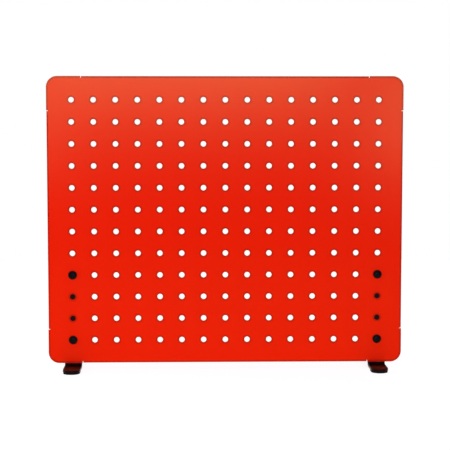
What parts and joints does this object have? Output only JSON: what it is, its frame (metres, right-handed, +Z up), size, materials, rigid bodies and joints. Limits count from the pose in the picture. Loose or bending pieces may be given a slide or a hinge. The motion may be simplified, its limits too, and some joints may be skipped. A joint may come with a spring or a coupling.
{
  "type": "tabletop pegboard",
  "caption": "Freestanding tabletop pegboard: a folded red steel sheet with a grid of round peg holes, bolted upright to two black strap feet with rubber pads.",
  "frame": {"origin": "on the floor plane, in the middle of the object's width and depth", "axes": "+Z up, -Y out of the front of the board, +X to the right seen from the front"},
  "size_m": [0.413, 0.123, 0.3415],
  "materials": {
    "red_powder_coat": "satin",
    "black_powder_coat": "satin",
    "black_oxide_steel": "satin",
    "black_rubber": "matte"
  },
  "bodies": {
    "root": {"pegboard_panel": "red_powder_coat", "left_front_bracket": "black_powder_coat", "left_rear_leg": "black_powder_coat", "left_toe_pad": "black_rubber", "left_rear_pad": "black_rubber", "left_upper_screw": "black_oxide_steel", "left_upper_washer": "black_oxide_steel", "left_upper_nut": "black_oxide_steel", "left_lower_screw": "black_oxide_steel", "left_lower_washer": "black_oxide_steel", "left_lower_nut": "black_oxide_steel", "right_front_bracket": "black_powder_coat", "right_rear_leg": "black_powder_coat", "right_toe_pad": "black_rubber", "right_rear_pad": "black_rubber", "right_upper_screw": "black_oxide_steel", "right_upper_washer": "black_oxide_steel", "right_upper_nut": "black_oxide_steel", "right_lower_screw": "black_oxide_steel", "right_lower_washer": "black_oxide_steel", "right_lower_nut": "black_oxide_steel"}
  },
  "joints": []
}
